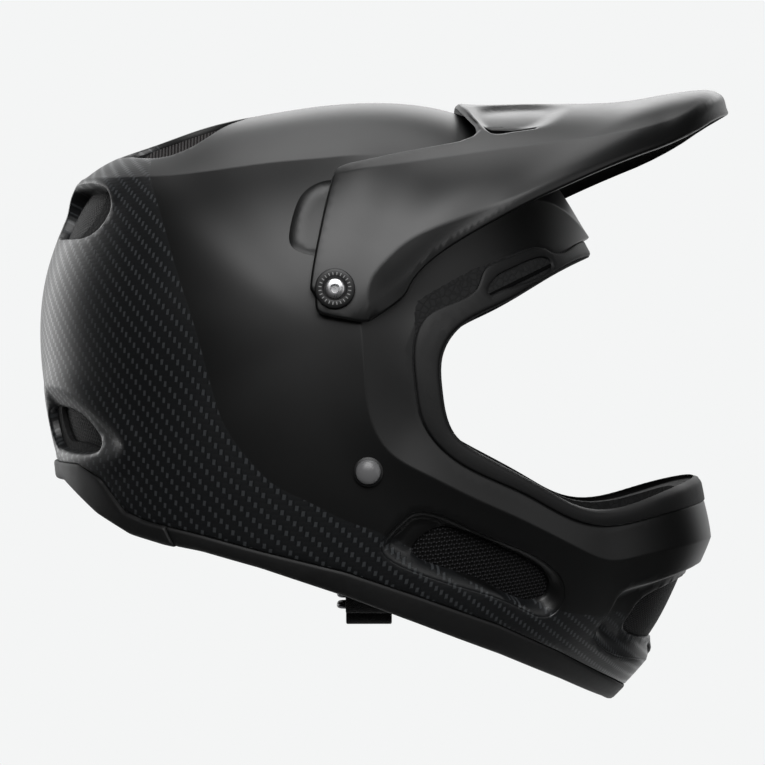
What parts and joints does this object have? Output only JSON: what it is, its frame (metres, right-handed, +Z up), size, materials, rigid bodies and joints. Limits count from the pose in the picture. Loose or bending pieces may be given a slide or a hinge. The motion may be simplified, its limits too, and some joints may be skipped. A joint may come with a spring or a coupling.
{
  "type": "full face bicycle helmet",
  "caption": "Full face helmet with a long visor that tilts on two side screws, vented chin bar, padded lining and a strap that closes through two rings.",
  "frame": {"origin": "centre of the wearer's head, on the middle plane", "axes": "+X forward through the face opening, +Y to the wearer's left, +Z up"},
  "size_m": [0.3432, 0.2546, 0.3021],
  "materials": {
    "shell_paint": "matte clear coat over dark woven composite, with plain black panels",
    "visor_paint": "satin black",
    "soft_trim": "matte moulded soft trim",
    "vent_plastic": "matte black moulding",
    "net": "matte black net",
    "liner_foam": "dark bead foam",
    "bushing_plastic": "satin black",
    "screw_aluminium": "bright turned",
    "rivet_paint": "satin black",
    "fastener_steel": "satin",
    "webbing": "woven webbing",
    "pad_fabric": "brushed knitted lining"
  },
  "bodies": {
    "helmet": {"outer_shell": "shell_paint", "eyeport_trim": "soft_trim", "brow_grille_right": "vent_plastic", "brow_grille_left": "vent_plastic", "lower_edge_trim": "soft_trim", "rear_bumper": "soft_trim", "impact_liner": "liner_foam", "chin_liner": "liner_foam", "chin_vent_frame_right": "vent_plastic", "chin_vent_frame_left": "vent_plastic", "chin_vent_net_right": "net", "chin_vent_net_left": "net", "front_vent_frame": "vent_plastic", "front_vent_net": "net", "rear_upper_net": "net", "rear_lower_net_right": "net", "rear_lower_net_left": "net", "crown_vent_insert_right": "vent_plastic", "crown_vent_insert_left": "vent_plastic", "visor_inserts": "fastener_steel", "visor_bushings": "bushing_plastic", "visor_washers": "bushing_plastic", "visor_screws": "screw_aluminium", "rivet_rings": "bushing_plastic", "strap_rivets": "rivet_paint", "rivet_plates": "fastener_steel", "cheek_pad_right": "pad_fabric", "cheek_pad_left": "pad_fabric", "cheek_snaps_right": "vent_plastic", "cheek_snaps_left": "vent_plastic", "slip_pads": "vent_plastic", "crown_pad": "pad_fabric", "brow_pad": "pad_fabric", "rear_pad": "pad_fabric", "neck_roll": "pad_fabric", "breath_guard": "soft_trim"},
    "visor": {"visor": "visor_paint"},
    "chin_strap": {"chin_strap_short": "webbing", "chin_strap_long": "webbing", "strap_snap": "fastener_steel", "strap_sleeve_right": "pad_fabric", "strap_sleeve_left": "pad_fabric"},
    "ring_inner": {"d_ring_inner": "fastener_steel"},
    "ring_outer": {"d_ring_outer": "fastener_steel"}
  },
  "joints": [
    {"name": "visor_tilt", "type": "hinge", "parent": "helmet", "child": "visor", "pos_m": [0.00433, 0, 0.02212], "axis": [0, -1, 0], "range_deg": [0, 14]},
    {"name": "strap_swing", "type": "hinge", "parent": "helmet", "child": "chin_strap", "pos_m": [0.01965, 0, -0.06284], "axis": [0, 1, 0], "range_deg": [-8, 8]},
    {"name": "inner_ring_turn", "type": "hinge", "parent": "chin_strap", "child": "ring_inner", "pos_m": [0.01965, -0.037, -0.1248], "axis": [1, 0, 0], "range_deg": [-1.5, 1.5]},
    {"name": "outer_ring_turn", "type": "hinge", "parent": "chin_strap", "child": "ring_outer", "pos_m": [0.01965, -0.0425, -0.1298], "axis": [1, 0, 0], "range_deg": [-1.5, 1.5]}
  ]
}
